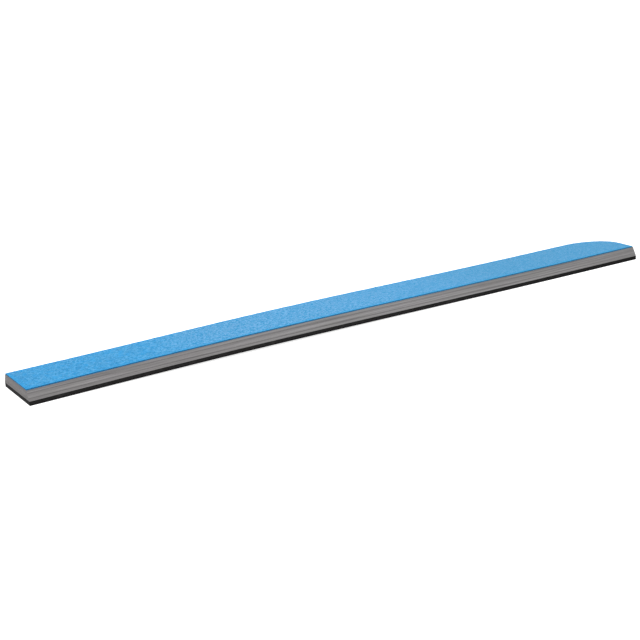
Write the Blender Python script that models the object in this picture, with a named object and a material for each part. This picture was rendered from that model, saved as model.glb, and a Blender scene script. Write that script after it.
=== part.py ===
"""Squeegee applicator strip: a blue felt face on three plies of grey foam and a black base.

The strip lies flat with its length along X and its felt face up. The origin is the middle of its
underside. Layers are stacked from the base up, and an adhesive film joins each to the next.
Everything is in metres.
"""

import math

import bmesh
import bpy

# Driving sizes
LENGTH = 0.711
BASE_WIDTH = 0.070
BASE_THICKNESS = 0.0039
OUTER_PLY_THICKNESS = 0.0025
MIDDLE_PLY_THICKNESS = 0.0038
FELT_THICKNESS = 0.0010
FILM_THICKNESS = 0.0001

# Each face of an adhesive film stands this far off the layer that it bonds.
FILM_CLEARANCE = 0.00005
# A film stops this far inside the cut edges of the layers that it joins.
FILM_INSET = 0.0004

# The base is cut square, and above it the two long flanks lean in.
FLANK_LEAN = math.radians(27.0)

# The corner at +X and +Y is rounded in plan, as a quarter of an ellipse.
CORNER_ALONG_X = 0.050
CORNER_ALONG_Y = 0.036
CORNER_SEGMENTS = 20

# An edge is shaded sharp where its faces meet at more than this angle.
SHARP_ANGLE = math.radians(30.0)

# Name, colour and roughness of each material
FELT = ("blue_felt", (0.09, 0.36, 0.72), 0.95)
FOAM = ("grey_foam", (0.23, 0.22, 0.22), 0.80)
RUBBER = ("black_rubber", (0.018, 0.018, 0.019), 0.65)
ADHESIVE = ("adhesive", (0.33, 0.31, 0.27), 0.40)

# The layers from the underside up: name, thickness and material
LAYERS = (
    ("base_strip", BASE_THICKNESS, RUBBER),
    ("base_bond_film", FILM_THICKNESS, ADHESIVE),
    ("lower_foam_ply", OUTER_PLY_THICKNESS, FOAM),
    ("lower_bond_film", FILM_THICKNESS, ADHESIVE),
    ("middle_foam_ply", MIDDLE_PLY_THICKNESS, FOAM),
    ("upper_bond_film", FILM_THICKNESS, ADHESIVE),
    ("upper_foam_ply", OUTER_PLY_THICKNESS, FOAM),
    ("felt_bond_film", FILM_THICKNESS, ADHESIVE),
    ("felt_facing", FELT_THICKNESS, FELT),
)


def clear_scene():
    for obj in list(bpy.data.objects):
        bpy.data.objects.remove(obj, do_unlink=True)


def make_collection(name):
    collection = bpy.data.collections.new(name)
    bpy.context.scene.collection.children.link(collection)
    return collection


def make_material(node_name, look):
    """A material of its own for each layer, so that one layer can be recoloured alone."""
    look_name, colour, roughness = look
    material = bpy.data.materials.new(f"{node_name}_{look_name}")
    material.use_nodes = True
    shader = material.node_tree.nodes["Principled BSDF"]
    shader.inputs["Base Color"].default_value = (*colour, 1.0)
    shader.inputs["Roughness"].default_value = roughness
    shader.inputs["Metallic"].default_value = 0.0
    material.diffuse_color = (*colour, 1.0)
    return material


def half_width(z):
    """Half the strip's width at height z."""
    above_base = max(0.0, z - BASE_THICKNESS)
    return BASE_WIDTH / 2 - above_base * math.tan(FLANK_LEAN)


def corner_edge(bm):
    """The upright edge at +X and +Y."""
    upright = [e for e in bm.edges if e.verts[0].co.z * e.verts[1].co.z < 0]
    return max(upright, key=lambda e: sum(v.co.x + v.co.y for v in e.verts))


def add_layer(collection, name, bottom, thickness, look, inset):
    """One layer of the strip, as a solid whose long sides follow the flanks.

    The corner is bevelled to a circle while the box is short, and then the box is drawn out to its
    length, which makes the circle an ellipse.
    """
    stretch = CORNER_ALONG_X / CORNER_ALONG_Y
    bm = bmesh.new()
    bmesh.ops.create_cube(bm, size=2.0)
    for vert in bm.verts:
        side_z = bottom + thickness * (vert.co.z + 1.0) / 2
        vert.co.x *= (LENGTH / 2 - inset) / stretch
        vert.co.y *= half_width(side_z) - inset
        vert.co.z *= thickness / 2
    bmesh.ops.bevel(
        bm,
        geom=[corner_edge(bm)],
        offset=CORNER_ALONG_Y - inset,
        offset_type="OFFSET",
        segments=CORNER_SEGMENTS,
        profile=0.5,
        affect="EDGES",
    )
    for vert in bm.verts:
        vert.co.x *= stretch
    bmesh.ops.recalc_face_normals(bm, faces=bm.faces)

    mesh = bpy.data.meshes.new(name)
    bm.to_mesh(mesh)
    bm.free()
    mesh.materials.append(make_material(name, look))
    mesh.shade_smooth()
    mesh.set_sharp_from_angle(angle=SHARP_ANGLE)

    layer = bpy.data.objects.new(name, mesh)
    layer.location.z = bottom + thickness / 2
    collection.objects.link(layer)


def build():
    clear_scene()
    collection = make_collection("squeegee_applicator")
    bottom = 0.0
    for name, thickness, look in LAYERS:
        is_film = look is ADHESIVE
        clearance = FILM_CLEARANCE if is_film else 0.0
        inset = FILM_INSET if is_film else 0.0
        add_layer(collection, name, bottom + clearance, thickness, look, inset)
        bottom += thickness + 2 * clearance


build()
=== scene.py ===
import math

import bpy
import numpy as np
from mathutils import Matrix, Vector, noise


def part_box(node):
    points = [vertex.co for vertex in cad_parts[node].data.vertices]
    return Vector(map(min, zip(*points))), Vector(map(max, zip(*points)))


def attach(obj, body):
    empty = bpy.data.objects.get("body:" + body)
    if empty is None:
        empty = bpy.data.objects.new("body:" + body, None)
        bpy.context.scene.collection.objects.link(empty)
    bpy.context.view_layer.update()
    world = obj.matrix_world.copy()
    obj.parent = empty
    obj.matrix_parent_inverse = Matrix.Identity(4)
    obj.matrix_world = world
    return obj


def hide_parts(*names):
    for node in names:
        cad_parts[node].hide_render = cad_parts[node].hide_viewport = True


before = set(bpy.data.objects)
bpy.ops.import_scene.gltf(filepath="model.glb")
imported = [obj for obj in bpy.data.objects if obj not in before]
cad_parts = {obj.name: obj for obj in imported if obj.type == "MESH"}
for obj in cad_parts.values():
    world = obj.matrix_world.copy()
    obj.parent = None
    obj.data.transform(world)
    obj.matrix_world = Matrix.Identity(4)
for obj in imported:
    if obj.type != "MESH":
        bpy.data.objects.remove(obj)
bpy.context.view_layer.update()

BODY = "root"
MM = 0.001


# --- Sizes read from the frame -----------------------------------------------------------------

def node_points(node):
    return np.array([vert.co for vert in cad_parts[node].data.vertices])


BASE_LOW, BASE_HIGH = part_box("base_strip")
FELT_LOW, FELT_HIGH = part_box("felt_facing")
HALF_LENGTH = BASE_HIGH[0]
HALF_BASE_WIDTH = BASE_HIGH[1]
LENGTH = 2 * HALF_LENGTH
BASE_TOP = BASE_HIGH[2]
# How far each flank leans in for each metre of height above the base
FLANK_SLOPE = (HALF_BASE_WIDTH - FELT_HIGH[1]) / (FELT_LOW[2] - BASE_TOP)

TOUCHING = 0.01 * MM
base_points = node_points("base_strip")
at_end = base_points[base_points[:, 0] > HALF_LENGTH - TOUCHING]
at_back = base_points[base_points[:, 1] > HALF_BASE_WIDTH - TOUCHING]
# The rounded corner is a quarter of an ellipse in plan
CORNER_ALONG_X = HALF_LENGTH - at_back[:, 0].max()
CORNER_ALONG_Y = HALF_BASE_WIDTH - at_end[:, 1].max()


# --- Camera, floor and light -------------------------------------------------------------------

CAMERA_PLACE = (-0.6949, -1.1917, 0.4079)
CAMERA_YAW = math.radians(28.94)
CAMERA_PITCH = math.radians(16.51)
CAMERA_ROLL = math.radians(-4.37)
CAMERA_LENS_MM = 78.75


def make_camera():
    camera = bpy.data.objects.new("camera", bpy.data.cameras.new("camera"))
    camera.data.lens = CAMERA_LENS_MM
    camera.data.sensor_width = 36.0
    camera.data.clip_start = 0.01
    camera.data.clip_end = 50.0
    turn = (
        Matrix.Rotation(-CAMERA_YAW, 4, "Z")
        @ Matrix.Rotation(math.pi / 2 - CAMERA_PITCH, 4, "X")
        @ Matrix.Rotation(CAMERA_ROLL, 4, "Z")
    )
    camera.matrix_world = Matrix.Translation(CAMERA_PLACE) @ turn
    bpy.context.scene.collection.objects.link(camera)
    bpy.context.scene.camera = camera


# A white table that gives off about half its light itself, so that it stays white by the strip
FLOOR_SIZE = 80.0
FLOOR_DROP = 0.05 * MM
FLOOR_SHADE = 0.6
FLOOR_GLOW = 0.8

# Name, place, target, size and power of each softbox
SOFTBOXES = (
    ("key", (-0.35, -0.9, 1.25), (-0.1, 0, 0), (1.2, 0.9), 14),
    ("fill", (-1.4, -0.2, 1.0), (0, 0, 0), (1.0, 1.0), 1.5),
)


def make_floor():
    bpy.ops.mesh.primitive_plane_add(size=FLOOR_SIZE, location=(0, 0, -FLOOR_DROP))
    floor = bpy.context.active_object
    floor.name = "floor"
    material = bpy.data.materials.new("floor")
    material.use_nodes = True
    shader = material.node_tree.nodes["Principled BSDF"]
    shader.inputs["Base Color"].default_value = (FLOOR_SHADE, FLOOR_SHADE, FLOOR_SHADE, 1)
    shader.inputs["Roughness"].default_value = 0.95
    shader.inputs["Specular IOR Level"].default_value = 0.0
    shader.inputs["Emission Color"].default_value = (1, 1, 1, 1)
    shader.inputs["Emission Strength"].default_value = FLOOR_GLOW
    floor.data.materials.append(material)


def add_softbox(name, place, target, size, power):
    light = bpy.data.lights.new(name, "AREA")
    light.shape = "RECTANGLE"
    light.size, light.size_y = size
    light.energy = power
    softbox = bpy.data.objects.new(name, light)
    softbox.location = place
    aim = Vector(target) - Vector(place)
    softbox.rotation_euler = aim.to_track_quat("-Z", "Y").to_euler()
    bpy.context.scene.collection.objects.link(softbox)


def make_light():
    world = bpy.data.worlds.new("studio")
    world.use_nodes = True
    background = world.node_tree.nodes["Background"]
    background.inputs["Color"].default_value = (1, 1, 1, 1)
    background.inputs["Strength"].default_value = 1.0
    bpy.context.scene.world = world
    bpy.context.scene.view_settings.view_transform = "Standard"
    for softbox in SOFTBOXES:
        add_softbox(*softbox)


# --- Shader helpers ----------------------------------------------------------------------------

class Shader:
    """A node material that is built up by name."""

    def __init__(self, name, roughness):
        self.material = bpy.data.materials.new(name)
        self.material.use_nodes = True
        self.tree = self.material.node_tree
        self.principled = self.tree.nodes["Principled BSDF"]
        self.principled.inputs["Roughness"].default_value = roughness
        self.place = self.tree.nodes.new("ShaderNodeTexCoord").outputs["Object"]

    def node(self, kind, inputs=(), **settings):
        made = self.tree.nodes.new(kind)
        for key, value in settings.items():
            setattr(made, key, value)
        for socket, value in dict(inputs).items():
            self.feed(made.inputs[socket], value)
        return made

    def feed(self, socket, value):
        if isinstance(value, bpy.types.NodeSocket):
            self.tree.links.new(value, socket)
        else:
            socket.default_value = value

    def stretched(self, scale):
        """The object's coordinates in metres times a scale for each axis."""
        inputs = {"Vector": self.place, "Scale": scale}
        return self.node("ShaderNodeMapping", inputs).outputs["Vector"]

    def attribute(self, name):
        return self.node("ShaderNodeAttribute", attribute_name=name).outputs["Fac"]

    def along(self):
        """The place along the strip, in metres from its middle."""
        return self.node("ShaderNodeSeparateXYZ", {"Vector": self.place}).outputs["X"]

    def ruffled(self, scale, reach):
        """The object's coordinates, pushed about by part of reach metres."""
        inputs = {"Vector": self.place, "Scale": scale, "Detail": 3.0, "Roughness": 0.6}
        drift = self.node("ShaderNodeTexNoise", inputs).outputs["Color"]
        inputs = {0: drift, 1: (reach, reach, reach), 2: self.place}
        return self.node("ShaderNodeVectorMath", inputs, operation="MULTIPLY_ADD").outputs["Vector"]

    def noise(self, where, scale, detail=3.0, rough=0.5):
        inputs = {"Vector": where, "Scale": scale, "Detail": detail, "Roughness": rough}
        return self.node("ShaderNodeTexNoise", inputs).outputs["Fac"]

    def cells(self, where, scale):
        inputs = {"Vector": where, "Scale": scale}
        return self.node("ShaderNodeTexVoronoi", inputs, feature="F1").outputs["Distance"]

    def math(self, operation, first, second=0.0):
        made = self.node("ShaderNodeMath", operation=operation)
        self.feed(made.inputs[0], first)
        self.feed(made.inputs[1], second)
        return made.outputs[0]

    def ramp(self, value, low, high, to_low=0.0, to_high=1.0):
        inputs = {
            "Value": value,
            "From Min": low,
            "From Max": high,
            "To Min": to_low,
            "To Max": to_high,
        }
        made = self.node("ShaderNodeMapRange", inputs, interpolation_type="SMOOTHSTEP")
        return made.outputs["Result"]

    def mix(self, share, first, second, blend="MIX"):
        made = self.node("ShaderNodeMix", data_type="RGBA", blend_type=blend)
        self.feed(made.inputs["Factor"], share)
        self.feed(made.inputs[6], first)
        self.feed(made.inputs[7], second)
        return made.outputs[2]

    def bump(self, height, distance, strength=1.0, below=None):
        inputs = {"Height": height, "Distance": distance, "Strength": strength}
        if below is not None:
            inputs["Normal"] = below
        return self.node("ShaderNodeBump", inputs).outputs["Normal"]

    def finish(self, colour, normal):
        self.feed(self.principled.inputs["Base Color"], colour)
        self.feed(self.principled.inputs["Normal"], normal)
        return self.material


# --- Materials ---------------------------------------------------------------------------------

# Where each change of the materials along the strip starts and ends, in metres from its middle
COARSE_NAP = (-0.38, 0.15)
COARSEST_NAP = (-0.30, -0.17)
# Painted shade: the felt is painted deeper blue towards the square end, in place of the weaker
# sheen there
DEEP_END_SHADE = (-0.25, -0.14)
DULL_NAP = (0.05, 0.20)
# The foam is a little darker towards the square end
DARKER_FOAM_END = (-0.20, -0.05)
DARK_RUBBER = (0.10, 0.35)

FIBRE_LENGTH = 3.0 * MM
FIBRE_SPACING = 0.45 * MM
FIBRE_ANGLES = (0.3, 1.4, 2.5)


def fibre_lines(shader, angle):
    """Thin wandering lines, 1 on a fibre and 0 off it, that run along one direction."""
    inputs = {
        "Vector": shader.place,
        "Rotation": (0.0, 0.0, angle),
        "Scale": (1 / FIBRE_LENGTH, 1 / FIBRE_SPACING, 1 / FIBRE_SPACING),
    }
    where = shader.node("ShaderNodeMapping", inputs).outputs["Vector"]
    level = shader.math("SUBTRACT", shader.noise(where, 1.0, 2.0), 0.5)
    return shader.ramp(shader.math("ABSOLUTE", level), 0.0, 0.035, 1.0, 0.0)


def felt_material(name, light, deep, pit, rim_highlight):
    """Needled felt: tufts and loose fibres over a deep ground, with dark pits between them.

    rim is the colour of a painted highlight along the cut edges, also used for blotches at the
    square end. The nap is coarse at the square end, where painted shade makes it a deeper blue in
    place of the weaker sheen there, and smooth and a little dull towards the other.
    """
    shader = Shader(name, roughness=0.95)
    along = shader.along()
    coarse = shader.ramp(along, *COARSE_NAP, 2.1, 0.36)
    coarse = shader.math("ADD", coarse, shader.ramp(along, *COARSEST_NAP, 1.1, 0.0))
    clumps = shader.noise(shader.place, 420.0, detail=5.0, rough=0.75)
    speckle = shader.noise(shader.place, 700.0, detail=3.0, rough=0.65)
    ragged = shader.ruffled(900.0, 5.0 * MM)
    tufts = shader.node("ShaderNodeTexVoronoi", {"Vector": ragged, "Scale": 640.0})
    tuft = shader.node("ShaderNodeSeparateColor", {"Color": tufts.outputs["Color"]}).outputs["Red"]
    share = shader.math("MULTIPLY", shader.math("SUBTRACT", clumps, 0.49), 6.0)
    share = shader.math("ADD", share, shader.math("SUBTRACT", tuft, 0.5))
    share = shader.math("MULTIPLY", share, coarse)
    fibres = fibre_lines(shader, FIBRE_ANGLES[0])
    for angle in FIBRE_ANGLES[1:]:
        fibres = shader.math("MAXIMUM", fibres, fibre_lines(shader, angle))
    share = shader.math("ADD", share, shader.math("MULTIPLY", fibres, 0.35))
    tone = shader.mix(shader.math("ADD", share, 0.36), deep, light)
    # Painted highlight along the cut edges
    tone = shader.mix(shader.ramp(shader.attribute("rim_highlight"), 0.3, 0.9, 0.0, 0.7), tone, rim_highlight)
    pits = shader.ramp(shader.cells(ragged, 420.0), 0.06, 0.45, 1.0, 0.0)
    gaps = shader.math("MULTIPLY", pits, shader.ramp(speckle, 0.42, 0.58))
    gaps = shader.math("MINIMUM", shader.math("MULTIPLY", gaps, coarse), 0.9)
    bridged = shader.ramp(fibres, 0.0, 1.0, 1.0, 0.4)
    tone = shader.mix(shader.math("MULTIPLY", gaps, bridged), tone, pit)
    # Painted shade: towards the square end the felt is painted deeper blue, with blotches of the
    # rim colour, standing in for the weaker sheen there
    deep_end_shade = shader.ramp(along, *DEEP_END_SHADE, 1.0, 0.0)
    blotches = shader.ramp(shader.noise(shader.place, 150.0, detail=4.0, rough=0.6), 0.5, 0.66)
    blotches = shader.math("MULTIPLY", blotches, shader.math("MULTIPLY", deep_end_shade, 0.6))
    tone = shader.mix(blotches, tone, rim_highlight)
    tone = shader.mix(deep_end_shade, tone, (0.56, 0.94, 1.0, 1), blend="MULTIPLY")
    dull = shader.ramp(along, *DULL_NAP)
    tone = shader.mix(dull, tone, (0.90, 0.94, 0.92, 1), blend="MULTIPLY")
    depth = shader.math("ADD", clumps, shader.math("MULTIPLY", speckle, 0.6))
    depth = shader.math("ADD", depth, shader.math("MULTIPLY", fibres, 0.25))
    shader.principled.inputs["Sheen Weight"].default_value = 0.08
    shader.principled.inputs["Sheen Roughness"].default_value = 0.5
    shader.principled.inputs["Specular IOR Level"].default_value = 0.05
    return shader.finish(tone, shader.bump(depth, 0.6 * MM, 1.0))


def foam_material(name, shade, top_seam_shade, foot_seam_shade):
    """Closed-cell foam cut with a long blade: small cells, drag lines along the cut.

    shade is how light the ply is, and top_seam_shade and foot_seam_shade how far painted shade
    darkens its cut towards the ply above it and the ply below.
    """
    shader = Shader(name, roughness=0.9)
    across = shader.attribute("across")
    lines = shader.noise(shader.stretched((9.0, 1000.0, 1000.0)), 1.0, detail=4.0, rough=0.65)
    patches = shader.noise(shader.stretched((50.0, 200.0, 200.0)), 1.0, detail=3.0)
    pores = shader.cells(shader.place, 2000.0)
    low, high = 0.120 * shade, 0.222 * shade
    dark = (low, 0.97 * low, 0.98 * low, 1)
    light = (high, 0.97 * high, 0.985 * high, 1)
    tone = shader.mix(shader.ramp(lines, 0.3, 0.7), dark, light)
    tone = shader.mix(shader.ramp(patches, 0.35, 0.7, 0.0, 0.35), tone, (0.165, 0.164, 0.155, 1))
    tone = shader.mix(shader.ramp(pores, 0.1, 0.5, 0.3, 0.0), tone, (0.07, 0.07, 0.07, 1))
    # Painted shade: the cut flank darkens towards the seams with the plies above and below
    foot_shade = shader.ramp(across, 0.0, 0.3, foot_seam_shade, 0.0)
    top = shader.ramp(across, 0.55, 1.0, 0.0, top_seam_shade)
    seam_shade = shader.math("MULTIPLY", shader.math("MAXIMUM", foot_shade, top), shader.attribute("flank"))
    tone = shader.mix(seam_shade, tone, (0.06, 0.059, 0.058, 1))
    # The foam is a little darker towards the square end
    darker_end = shader.ramp(shader.along(), *DARKER_FOAM_END, 1.0, 0.0)
    tone = shader.mix(darker_end, tone, (0.92, 0.91, 0.91, 1), blend="MULTIPLY")
    cut = shader.bump(lines, 0.3 * MM, 0.7)
    shader.principled.inputs["Specular IOR Level"].default_value = 0.1
    return shader.finish(tone, shader.bump(pores, 0.12 * MM, 0.7, below=cut))


def rubber_material(name):
    """Firm cellular rubber: near black, pitted and fine-grained, with a little dust on it."""
    shader = Shader(name, roughness=0.8)
    grain = shader.noise(shader.place, 1500.0, detail=4.0, rough=0.7)
    dust = shader.noise(shader.place, 120.0, detail=4.0, rough=0.65)
    pits = shader.cells(shader.place, 1200.0)
    dark, light = (0.003, 0.003, 0.003, 1), (0.014, 0.0135, 0.0135, 1)
    tone = shader.mix(shader.ramp(grain, 0.35, 0.7), dark, light)
    tone = shader.mix(shader.ramp(dust, 0.5, 0.8, 0.0, 0.4), tone, (0.034, 0.032, 0.031, 1))
    # Painted shade: the flank darkens towards its bottom edge, where it meets the floor
    foot_shade = shader.ramp(shader.attribute("across"), 0.0, 0.5, 0.8, 0.0)
    foot_shade = shader.math("MULTIPLY", foot_shade, shader.attribute("flank"))
    tone = shader.mix(foot_shade, tone, (0.002, 0.002, 0.002, 1))
    tone = shader.mix(shader.ramp(shader.along(), *DARK_RUBBER, 0.0, 0.6), tone, dark)
    shader.principled.inputs["Specular IOR Level"].default_value = 0.08
    fine = shader.bump(grain, 0.2 * MM, 0.6)
    return shader.finish(tone, shader.bump(pits, 0.15 * MM, 0.5, below=fine))


def adhesive_material(name):
    """Clear adhesive film that has picked up dust at its cut edge."""
    shader = Shader(name, roughness=0.45)
    streaks = shader.noise(shader.stretched((60.0, 700.0, 700.0)), 1.0, detail=3.0)
    dark, light = (0.075, 0.072, 0.068, 1), (0.12, 0.115, 0.108, 1)
    tone = shader.mix(shader.ramp(streaks, 0.3, 0.7), dark, light)
    return shader.finish(tone, shader.bump(streaks, 0.03 * MM, 0.4))


# --- Mesh helpers ------------------------------------------------------------------------------

# Distance in from a cut edge over which the felt's face carries a painted highlight
RIM_HIGHLIGHT_REACH = 8 * MM
# Cut sides meet the faces at more than this, and the facets of the rounded corner at less
BEVEL_ANGLE = math.radians(40)
SHARP_ANGLE = math.radians(50)
# Number of steps round the corner
CORNER_STEPS = 24
# Heights of the wave in which the strip lies, of what shifts its peak, and of its twist
WAVE_HEIGHT = 1.75 * MM
WAVE_SHIFT = 0.84 * MM
TWIST_HEIGHT = 1.1 * MM


def half_width(z):
    """Half the strip's width at height z."""
    return HALF_BASE_WIDTH - np.maximum(0.0, z - BASE_TOP) * FLANK_SLOPE


def corner_cut(x):
    """How far the rounded corner takes the back edge in at x."""
    along = np.clip((x - (HALF_LENGTH - CORNER_ALONG_X)) / CORNER_ALONG_X, 0.0, 1.0)
    return CORNER_ALONG_Y * (1.0 - np.sqrt(1.0 - along**2))


def stations(step, inset):
    """Places along the strip, closer together round the corner."""
    start = HALF_LENGTH - CORNER_ALONG_X
    straight = np.linspace(inset - HALF_LENGTH, start, round((start + HALF_LENGTH) / step) + 1)
    turns = np.linspace(0.0, math.pi / 2, CORNER_STEPS + 1)[1:]
    return np.concatenate([straight, start + (CORNER_ALONG_X - inset) * np.sin(turns)])


def box_lattice(counts):
    """The surface of a box of nx by ny by nz cells: each point's three indices, and the quads."""
    nx, ny, nz = counts
    i, j, k = np.meshgrid(range(nx + 1), range(ny + 1), range(nz + 1), indexing="ij")
    outside = (i % nx == 0) | (j % ny == 0) | (k % nz == 0)
    number = np.full(outside.shape, -1)
    number[outside] = np.arange(outside.sum())
    quads = []

    def side(sheet, flip):
        corners = [sheet[:-1, :-1], sheet[1:, :-1], sheet[1:, 1:], sheet[:-1, 1:]]
        if flip:
            corners.reverse()
        quads.append(np.stack([c.ravel() for c in corners], axis=1))

    side(number[:, :, 0], True)
    side(number[:, :, nz], False)
    side(number[:, 0, :], False)
    side(number[:, ny, :], True)
    side(number[0, :, :], True)
    side(number[nx, :, :], False)
    return (i[outside], j[outside], k[outside]), np.concatenate(quads)


def fractal(points, wave, octaves=2):
    """Smooth noise from about -1 to 1 whose longest waves have these lengths along X, Y and Z."""
    scaled = points / np.array(wave)
    return np.array([noise.fractal(Vector(p), 1.0, 2.0, octaves) for p in scaled])


def lie(x, y):
    """How far the strip stands off the floor: it lies in one long, low wave with a slight twist."""
    share = (x + HALF_LENGTH) / LENGTH
    wave = WAVE_HEIGHT * np.sin(math.pi * share) + WAVE_SHIFT * np.sin(2 * math.pi * share)
    fading = np.clip(1.0 - share, 0.0, 1.0) ** 1.5
    twist = TWIST_HEIGHT * fading * np.sin(3 * math.pi * share)
    return wave - twist * np.clip(0.5 + 0.5 * y / HALF_BASE_WIDTH, 0.0, 1.0)


def near_edge(points, reach):
    """1 at the layer's cut sides, down to 0 at reach inside them."""
    x, y, z = points.T
    from_front = y + half_width(z)
    from_back = half_width(z) - corner_cut(x) - y
    from_end = HALF_LENGTH - np.abs(x)
    nearest = np.minimum(np.minimum(from_front, from_back), from_end)
    return np.clip(1.0 - nearest / reach, 0.0, 1.0)


def layer(name, node, step, cells, inset=0.0, rounding=0.0, relief=None):
    """A closed mesh for one layer of the strip, in place of its CAD node.

    cells is the number across the width and through the thickness, rounding the radius of the
    edges, and relief a function that moves the finished points.
    """
    low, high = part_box(node)
    xs = stations(step, inset)
    (i, j, k), quads = box_lattice((len(xs) - 1, *cells))
    x = xs[i]
    z = low[2] + (high[2] - low[2]) * k / cells[1]
    front = inset - half_width(z)
    back = half_width(z) - inset - corner_cut(x)
    points = np.stack([x, front + (back - front) * j / cells[0], z], axis=1)

    mesh = bpy.data.meshes.new(name)
    mesh.from_pydata(points.tolist(), [], quads.tolist())
    piece = bpy.data.objects.new(name, mesh)
    bpy.context.scene.collection.objects.link(piece)
    if rounding:
        round_edges(piece, rounding)

    mesh = piece.data
    points = np.array([vert.co for vert in mesh.vertices])
    across = mesh.attributes.new("across", "FLOAT", "POINT")
    across.data.foreach_set("value", (points[:, 2] - low[2]) / (high[2] - low[2]))
    # Weight, 1 at the cut sides, of the felt's painted edge highlight
    rim_highlight = mesh.attributes.new("rim_highlight", "FLOAT", "POINT")
    rim_highlight.data.foreach_set("value", near_edge(points, RIM_HIGHLIGHT_REACH))
    flank = mesh.attributes.new("flank", "FLOAT", "POINT")
    flank.data.foreach_set("value", [abs(vert.normal.y) for vert in mesh.vertices])
    if relief:
        points = relief(points, np.array([vert.normal for vert in mesh.vertices]), low, high)
    points[:, 2] += lie(points[:, 0], points[:, 1])
    mesh.vertices.foreach_set("co", points.ravel())
    mesh.update()
    mesh.shade_smooth()
    mesh.set_sharp_from_angle(angle=SHARP_ANGLE)
    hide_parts(node)
    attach(piece, BODY)
    return piece


def round_edges(piece, width):
    bevel = piece.modifiers.new("edges", "BEVEL")
    bevel.width = width
    bevel.segments = 3
    bevel.limit_method = "ANGLE"
    bevel.angle_limit = BEVEL_ANGLE
    graph = bpy.context.evaluated_depsgraph_get()
    rounded = bpy.data.meshes.new_from_object(piece.evaluated_get(graph))
    piece.modifiers.clear()
    piece.data = rounded


# --- The layers --------------------------------------------------------------------------------

SIDEWAYS = np.array([1.0, 1.0, 0.0])
# How far in from a cut side its relief reaches, in the felt and in the foam and base
FELT_EDGE_REACH = 1.5 * MM
CUT_REACH = 0.6 * MM
# Felt: the lumps' height, how far its edge is pressed down and drawn in, and how far it wanders
LUMP_HEIGHT = 0.15 * MM
EDGE_PRESS = 0.12 * MM
EDGE_DRAW = 0.1 * MM
EDGE_RAGGED = 0.26 * MM
EDGE_WANDER = 0.30 * MM
# Foam: how far a flank swells from its set-back seams, and the height of the blade's waves
PLY_SWELL = 0.14 * MM
SEAM_DEPTH = 0.05 * MM
BLADE_WAVES = 0.10 * MM
# Base: the depth of the hollow in its side, and the height of the waves from slitting
SIDE_HOLLOW = 0.08 * MM
SLITTING_WAVES = 0.06 * MM


def bulge(points, low, high):
    """0 at a layer's top and foot, and 1 half way up it."""
    share = (points[:, 2] - low[2]) / (high[2] - low[2])
    return 4 * share * (1 - share)


def felt_relief(points, normals, low, high):
    """Lumps in the nap, and a cut edge that wanders a little and is pressed down."""
    top = np.clip((points[:, 2] - low[2]) / (high[2] - low[2]), 0.0, 1.0)
    edge = near_edge(points, FELT_EDGE_REACH)
    lumps = fractal(points, (6 * MM, 6 * MM, 6 * MM), 3)
    moved = points.copy()
    moved[:, 2] += top * (LUMP_HEIGHT * lumps - EDGE_PRESS * edge**2)
    ragged = EDGE_RAGGED * fractal(points, (5 * MM, 5 * MM, 3 * MM), 3)
    wander = EDGE_WANDER * fractal(points, (45 * MM, 45 * MM, 45 * MM), 2)
    moved += normals * SIDEWAYS * (edge**2 * (ragged + wander) - EDGE_DRAW * edge)[:, None]
    return moved


def foam_relief(points, normals, low, high):
    """The flank of a ply swells between its bond lines, and carries the blade's waves."""
    edge = near_edge(points, CUT_REACH)
    swell = PLY_SWELL * bulge(points, low, high) - SEAM_DEPTH
    blade = BLADE_WAVES * fractal(points, (60 * MM, 60 * MM, 3 * MM), 3)
    return points + normals * SIDEWAYS * (edge * (swell + blade))[:, None]


def base_relief(points, normals, low, high):
    """A slightly hollow cut side, with long waves from slitting."""
    edge = near_edge(points, CUT_REACH)
    hollow = -SIDE_HOLLOW * bulge(points, low, high)
    waves = SLITTING_WAVES * fractal(points, (80 * MM, 80 * MM, 80 * MM), 2)
    return points + normals * SIDEWAYS * (edge * (hollow + waves))[:, None]


# A felt polygon belongs to the face, not to the cut side, where its normal stands up this much
FACE_UPRIGHT = 0.9
# How far the films stop inside the cut edges
FILM_INSET = 0.4 * MM
# Spacing of each layer's points along the strip
FELT_STEP = 1.5 * MM
FOAM_STEP = 3 * MM
BASE_STEP = 3 * MM
FILM_STEP = 6 * MM
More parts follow.
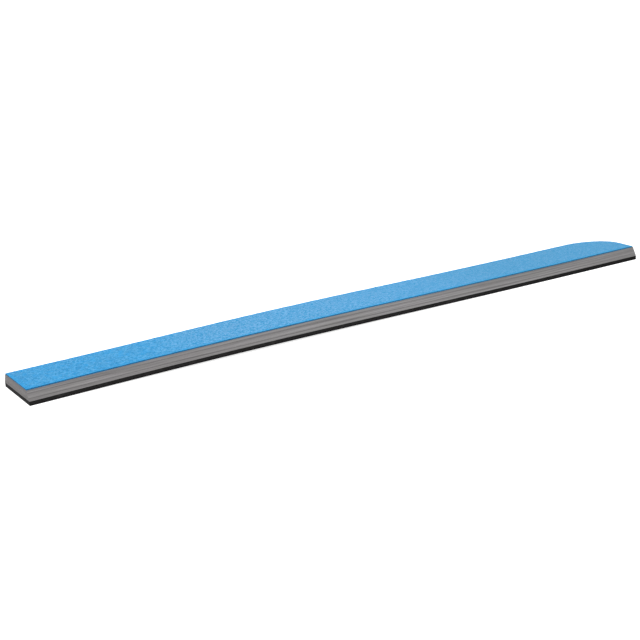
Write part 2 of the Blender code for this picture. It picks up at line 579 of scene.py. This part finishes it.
# Radius of each layer's edges
FELT_ROUNDING = 0.15 * MM
FOAM_ROUNDING = 0.08 * MM
BASE_ROUNDING = 0.2 * MM


def make_felt():
    piece = layer("felt", "felt_facing", FELT_STEP, (40, 2), 0.0, FELT_ROUNDING, felt_relief)
    face = felt_material(
        "felt_face",
        light=(0.165, 0.45, 0.76, 1),
        deep=(0.008, 0.275, 0.59, 1),
        pit=(0.004, 0.16, 0.41, 1),
        rim_highlight=(0.022, 0.36, 0.74, 1),
    )
    # The cut sides get a darker copy of the felt: partly the cut's own deeper colour, partly
    # painted shade
    cut = felt_material(
        "felt_cut",
        light=(0.012, 0.15, 0.31, 1),
        deep=(0.003, 0.10, 0.23, 1),
        pit=(0.002, 0.06, 0.15, 1),
        rim_highlight=(0.004, 0.12, 0.26, 1),
    )
    piece.data.materials.append(face)
    piece.data.materials.append(cut)
    for polygon in piece.data.polygons:
        polygon.material_index = 0 if abs(polygon.normal.z) > FACE_UPRIGHT else 1
    return piece


# Each ply's node, how light it is, and how far painted shade darkens its cut towards its top and
# its bottom
PLIES = (
    ("upper_foam_ply", 0.95, 0.10, 0.20),
    ("middle_foam_ply", 1.04, 0.25, 0.05),
    ("lower_foam_ply", 0.96, 0.35, 0.10),
)


def make_foam():
    made = []
    for node, shade, top_seam_shade, foot_seam_shade in PLIES:
        shown = node.replace("_ply", "")
        piece = layer(shown, node, FOAM_STEP, (24, 10), 0.0, FOAM_ROUNDING, foam_relief)
        piece.data.materials.append(foam_material(shown, shade, top_seam_shade, foot_seam_shade))
        made.append(piece)
    return made


def make_base():
    piece = layer("base", "base_strip", BASE_STEP, (24, 6), 0.0, BASE_ROUNDING, base_relief)
    piece.data.materials.append(rubber_material("rubber"))


def make_films():
    material = adhesive_material("adhesive_film")
    for name in ("felt_bond_film", "upper_bond_film", "lower_bond_film", "base_bond_film"):
        piece = layer(name.replace("_film", "_line"), name, FILM_STEP, (8, 1), FILM_INSET)
        piece.data.materials.append(material)


make_camera()
make_floor()
make_light()
felt = make_felt()
foam = make_foam()
make_base()
make_films()
